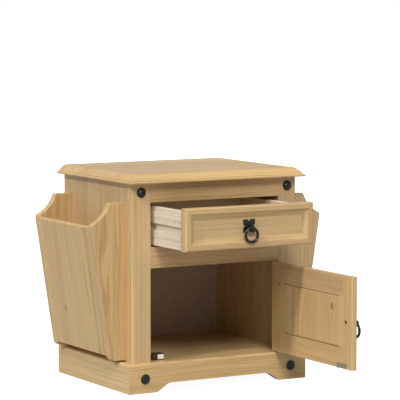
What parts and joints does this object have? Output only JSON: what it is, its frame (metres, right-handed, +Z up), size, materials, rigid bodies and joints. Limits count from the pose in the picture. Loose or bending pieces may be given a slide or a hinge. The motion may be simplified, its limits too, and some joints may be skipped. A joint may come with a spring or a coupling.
{
  "type": "nightstand",
  "caption": "Pine nightstand with a ring-pull drawer over a panelled cupboard door, and a slanted magazine rack on each side.",
  "frame": {"origin": "on the floor, midway across the carcass and midway between the front faces of the posts and the back edges of the side panels", "axes": "+X to the right seen from the front, +Y to the back, +Z up"},
  "size_m": [0.6138, 0.6924, 0.5],
  "materials": {
    "pine": "satin clear lacquer",
    "bare_pine": "planed, unfinished",
    "fibreboard": "smooth pressed board",
    "blackened_iron": "hammered, blackened and waxed",
    "plated_steel": "zinc plated",
    "brass_plate": "satin brass plate",
    "dark_plastic": "matt moulded",
    "pale_plastic": "gloss moulded"
  },
  "bodies": {
    "cabinet": {"top_board": "pine", "left_side_panel": "pine", "right_side_panel": "pine", "left_front_post": "pine", "right_front_post": "pine", "top_rail": "pine", "middle_rail": "pine", "cupboard_floor": "pine", "plinth_front": "pine", "plinth_left": "pine", "plinth_right": "pine", "left_rack_front_end": "pine", "right_rack_front_end": "pine", "left_rack_back_end": "pine", "right_rack_back_end": "pine", "left_rack_face": "pine", "right_rack_face": "pine", "left_rack_floor": "pine", "right_rack_floor": "pine", "back_top_rail": "bare_pine", "back_bottom_rail": "bare_pine", "plinth_corner_blocks": "bare_pine", "top_fixing_blocks": "bare_pine", "left_drawer_runner": "bare_pine", "right_drawer_runner": "bare_pine", "back_panel": "fibreboard", "corner_studs": "blackened_iron", "carcass_screws": "plated_steel", "runner_screws": "plated_steel", "cabinet_small_screws": "plated_steel", "upper_hinge_post_leaf": "brass_plate", "lower_hinge_post_leaf": "brass_plate", "hinge_pins": "brass_plate", "catch_housing": "dark_plastic", "catch_magnet": "pale_plastic"},
    "drawer": {"drawer_front_panel": "pine", "drawer_frame_top": "pine", "drawer_frame_bottom": "pine", "drawer_frame_left": "pine", "drawer_frame_right": "pine", "drawer_side_left": "bare_pine", "drawer_side_right": "bare_pine", "drawer_back": "bare_pine", "drawer_bottom": "fibreboard", "drawer_cam_locks": "plated_steel", "drawer_pull_plate": "blackened_iron", "drawer_pull_bolt": "brass_plate"},
    "drawer_ring": {"drawer_pull_ring": "blackened_iron"},
    "door": {"door_hinge_stile": "pine", "door_free_stile": "pine", "door_top_rail": "pine", "door_bottom_rail": "pine", "door_panel": "pine", "upper_hinge_door_leaf": "brass_plate", "lower_hinge_door_leaf": "brass_plate", "door_small_screws": "plated_steel", "strike_plate": "plated_steel", "door_pull_plate": "blackened_iron", "door_pull_bolt": "brass_plate"},
    "door_ring": {"door_pull_ring": "blackened_iron"}
  },
  "joints": [
    {"name": "drawer_slide", "type": "slide", "parent": "cabinet", "child": "drawer", "axis": [0, -1, 0], "range_m": [-0.158, 0.055]},
    {"name": "door_hinge", "type": "hinge", "parent": "cabinet", "child": "door", "pos_m": [0.17, -0.1744, 0.176], "axis": [0, 0, 1], "range_deg": [-90, 80]},
    {"name": "drawer_ring_swing", "type": "hinge", "parent": "drawer", "child": "drawer_ring", "pos_m": [0, -0.333, 0.382], "axis": [-1, 0, 0], "range_deg": [0, 150]},
    {"name": "door_ring_swing", "type": "hinge", "parent": "door", "child": "door_ring", "pos_m": [0.1786, -0.4874, 0.17275], "axis": [0, -1, 0], "range_deg": [0, 150]}
  ]
}
